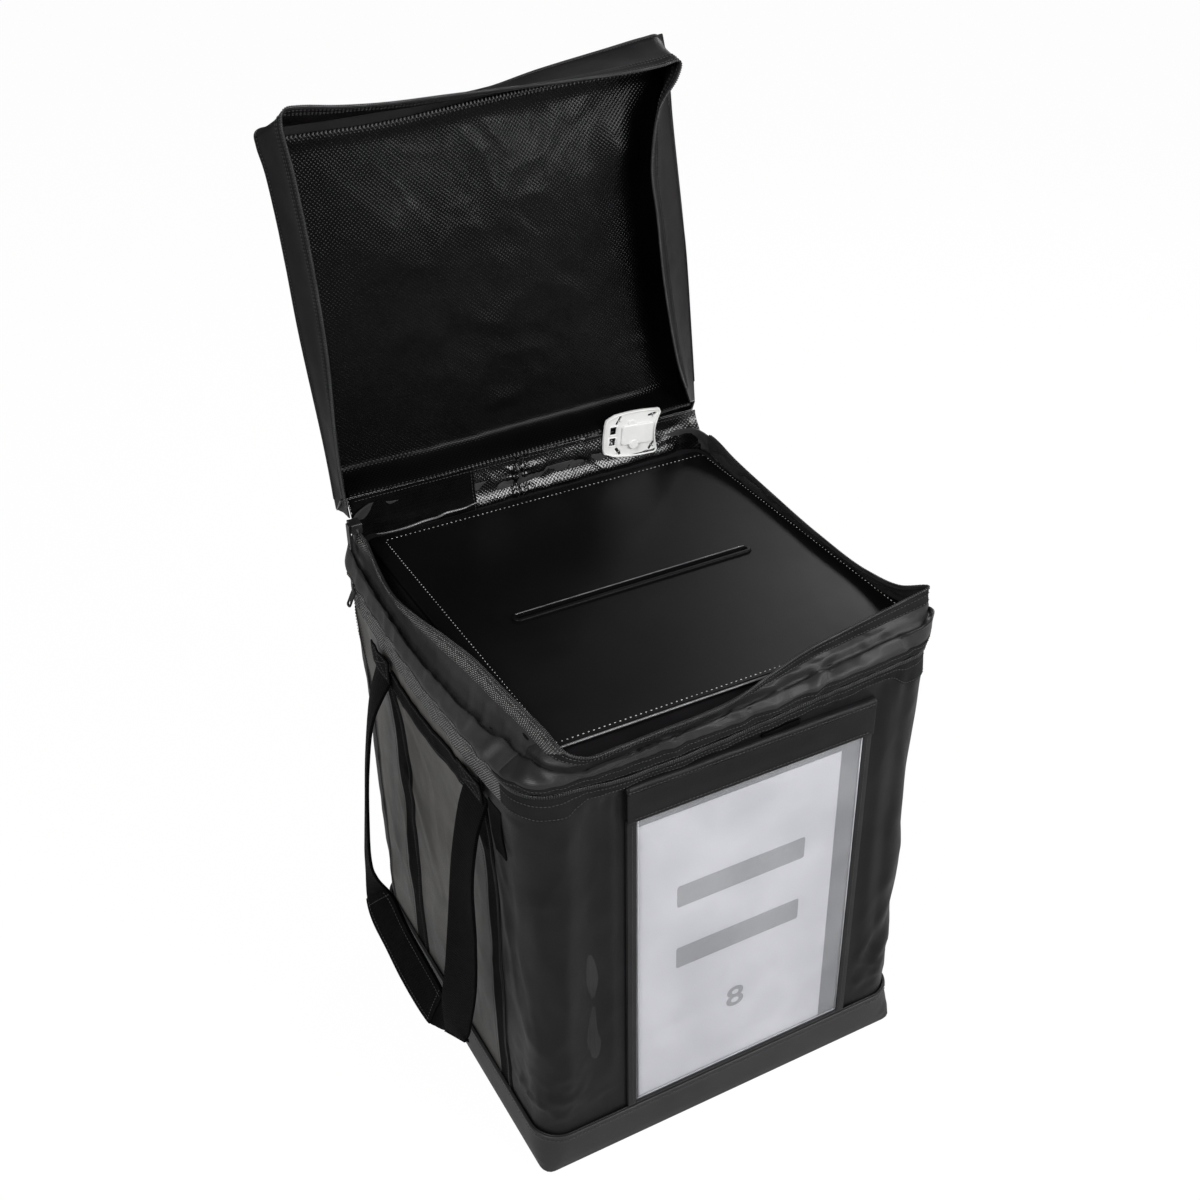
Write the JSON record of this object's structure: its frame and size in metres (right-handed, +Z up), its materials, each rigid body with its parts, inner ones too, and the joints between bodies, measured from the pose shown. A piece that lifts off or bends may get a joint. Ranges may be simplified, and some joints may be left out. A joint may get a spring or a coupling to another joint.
{
  "type": "ballot box",
  "caption": "Soft-sided square ballot box with a hinged lid, slotted deck inside a zipped collar, clear card pocket and side carry handles.",
  "frame": {"origin": "centre of the underside of the base tray, on the ground", "axes": "+X to the right along the front, +Y to the back where the lid is hinged, +Z up"},
  "size_m": [0.4358, 0.4079, 0.8079],
  "materials": {
    "base_vinyl": "smooth satin vinyl",
    "coated_nylon": "satin coated nylon",
    "side_nylon": "satin coated nylon, paler sheen",
    "stiffener": "matt corrugated sheet",
    "zip_tape": "matt woven tape",
    "zip_coil": "moulded nylon coil",
    "zip_metal": "black painted die casting",
    "binding": "satin vinyl edging",
    "clear_vinyl": "clear flexible vinyl sheet",
    "paper": "matt card",
    "webbing": "ribbed polypropylene webbing",
    "deck_leatherette": "smooth satin leatherette",
    "slot_plastic": "satin moulded rim",
    "shiny_vinyl": "glossy vinyl on a woven scrim",
    "seal_plastic": "white moulded plastic",
    "staple_steel": "bright wire"
  },
  "bodies": {
    "body": {"base_tray": "base_vinyl", "base_board": "stiffener", "front_panel": "coated_nylon", "rear_panel": "coated_nylon", "left_panel": "side_nylon", "right_panel": "side_nylon", "front_board": "stiffener", "rear_board": "stiffener", "left_board": "stiffener", "right_board": "stiffener", "body_zip_tape": "zip_tape", "body_zip_coil": "zip_coil", "pocket_spacer": "binding", "window": "clear_vinyl", "window_binding": "binding", "flap_seam": "coated_nylon", "pocket_tab": "webbing", "left_rear_strap": "webbing", "left_front_strap": "webbing", "left_top_strap": "webbing", "left_strap_tail": "webbing", "left_handle_anchors": "webbing", "right_rear_strap": "webbing", "right_front_strap": "webbing", "right_top_strap": "webbing", "right_strap_tail": "webbing", "right_handle_anchors": "webbing"},
    "deck": {"collar_front": "coated_nylon", "collar_rear": "coated_nylon", "collar_left": "coated_nylon", "collar_right": "coated_nylon", "deck_zip_tape": "zip_tape", "collar_zip_tape": "zip_tape", "deck_flange": "coated_nylon", "slot_board": "stiffener", "slot_cover": "deck_leatherette", "slot_rim": "slot_plastic", "rear_strip": "shiny_vinyl", "strip_patch": "zip_tape", "seal_plate": "seal_plastic", "seal_cover": "seal_plastic", "seal_staples": "staple_steel"},
    "lid": {"lid_panel": "coated_nylon", "lid_rim_left": "coated_nylon", "lid_rim_right": "coated_nylon", "lid_rim_front": "coated_nylon", "lid_rim_rear": "shiny_vinyl", "lid_zip_tape": "zip_tape", "lid_board": "stiffener", "lid_lining": "shiny_vinyl"},
    "left_handle": {"left_handle": "webbing", "left_grip": "webbing"},
    "right_handle": {"right_handle": "webbing", "right_grip": "webbing"},
    "flap": {"pocket_flap": "coated_nylon"},
    "card": {"card": "paper"},
    "body_zip_slider": {"body_zip_slider": "zip_metal"},
    "body_zip_pull": {"body_zip_pull": "zip_metal"},
    "lid_zip_slider": {"lid_zip_slider": "zip_metal"},
    "lid_zip_pull": {"lid_zip_pull": "zip_metal"}
  },
  "joints": [
    {"name": "deck_hinge", "type": "hinge", "parent": "body", "child": "deck", "pos_m": [0, 0.178, 0.4135], "axis": [-1, 0, 0], "range_deg": [0, 95]},
    {"name": "lid_hinge", "type": "hinge", "parent": "deck", "child": "lid", "pos_m": [0, 0.175, 0.47], "axis": [-1, 0, 0], "range_deg": [-94, 40]},
    {"name": "left_handle_swing", "type": "hinge", "parent": "body", "child": "left_handle", "pos_m": [-0.1789, -0.0135, 0.378], "axis": [0, 1, 0], "range_deg": [0, 125]},
    {"name": "right_handle_swing", "type": "hinge", "parent": "body", "child": "right_handle", "pos_m": [0.1789, -0.0135, 0.378], "axis": [0, -1, 0], "range_deg": [0, 125]},
    {"name": "flap_hinge", "type": "hinge", "parent": "body", "child": "flap", "pos_m": [0.01, -0.1798, 0.38], "axis": [-1, 0, 0], "range_deg": [0, 110]},
    {"name": "card_slide", "type": "slide", "parent": "body", "child": "card", "axis": [0, 0, 1], "range_m": [0, 0.034]},
    {"name": "body_zip_slide", "type": "slide", "parent": "body", "child": "body_zip_slider", "axis": [0, -1, 0], "range_m": [0, 0.25]},
    {"name": "body_zip_pull_hinge", "type": "hinge", "parent": "body_zip_slider", "child": "body_zip_pull", "pos_m": [-0.1817, 0.127, 0.417], "axis": [0, 1, 0], "range_deg": [0, 120]},
    {"name": "lid_zip_slide", "type": "slide", "parent": "deck", "child": "lid_zip_slider", "axis": [0, -1, 0], "range_m": [0, 0.27]},
    {"name": "lid_zip_pull_hinge", "type": "hinge", "parent": "lid_zip_slider", "child": "lid_zip_pull", "pos_m": [-0.1796, 0.1447, 0.463], "axis": [0, 1, 0], "range_deg": [0, 120]}
  ]
}
